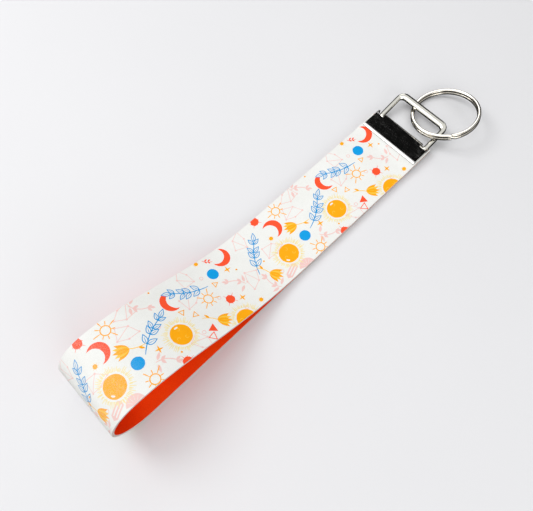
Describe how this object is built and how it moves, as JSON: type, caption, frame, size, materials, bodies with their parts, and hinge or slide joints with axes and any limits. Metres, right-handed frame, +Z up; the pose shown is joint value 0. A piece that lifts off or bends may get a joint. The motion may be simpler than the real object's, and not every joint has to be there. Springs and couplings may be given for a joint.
{
  "type": "wristlet keychain",
  "caption": "Printed wrist strap folded into a loop, crimped in a polished clamp, with a pivoting wire bail and a split ring for keys.",
  "frame": {"origin": "middle of the strap's flat underside", "axes": "+Y along the strap towards the clamp and ring, +X across the strap, +Z up from the surface it lies on"},
  "size_m": [0.04, 0.2137, 0.029],
  "materials": {
    "strap_face": "printed faux leather, satin",
    "strap_lining": "smooth dyed faux leather, satin",
    "clamp_nickel": "polished nickel plate",
    "bail_nickel": "polished nickel plate",
    "ring_nickel": "polished nickel plate"
  },
  "bodies": {
    "strap": {"strap_face": "strap_face", "strap_lining": "strap_lining", "clamp": "clamp_nickel"},
    "bail": {"bail": "bail_nickel"},
    "split_ring": {"split_ring": "ring_nickel"}
  },
  "joints": [
    {"name": "bail_pivot", "type": "hinge", "parent": "strap", "child": "bail", "pos_m": [0.00045, 0.0896, 0.002], "axis": [1, 0, 0], "range_deg": [-82, 58]},
    {"name": "ring_swing", "type": "hinge", "parent": "bail", "child": "split_ring", "pos_m": [0.00045, 0.10398, 0.00506], "axis": [1, 0, 0], "range_deg": [-100, 3]}
  ]
}
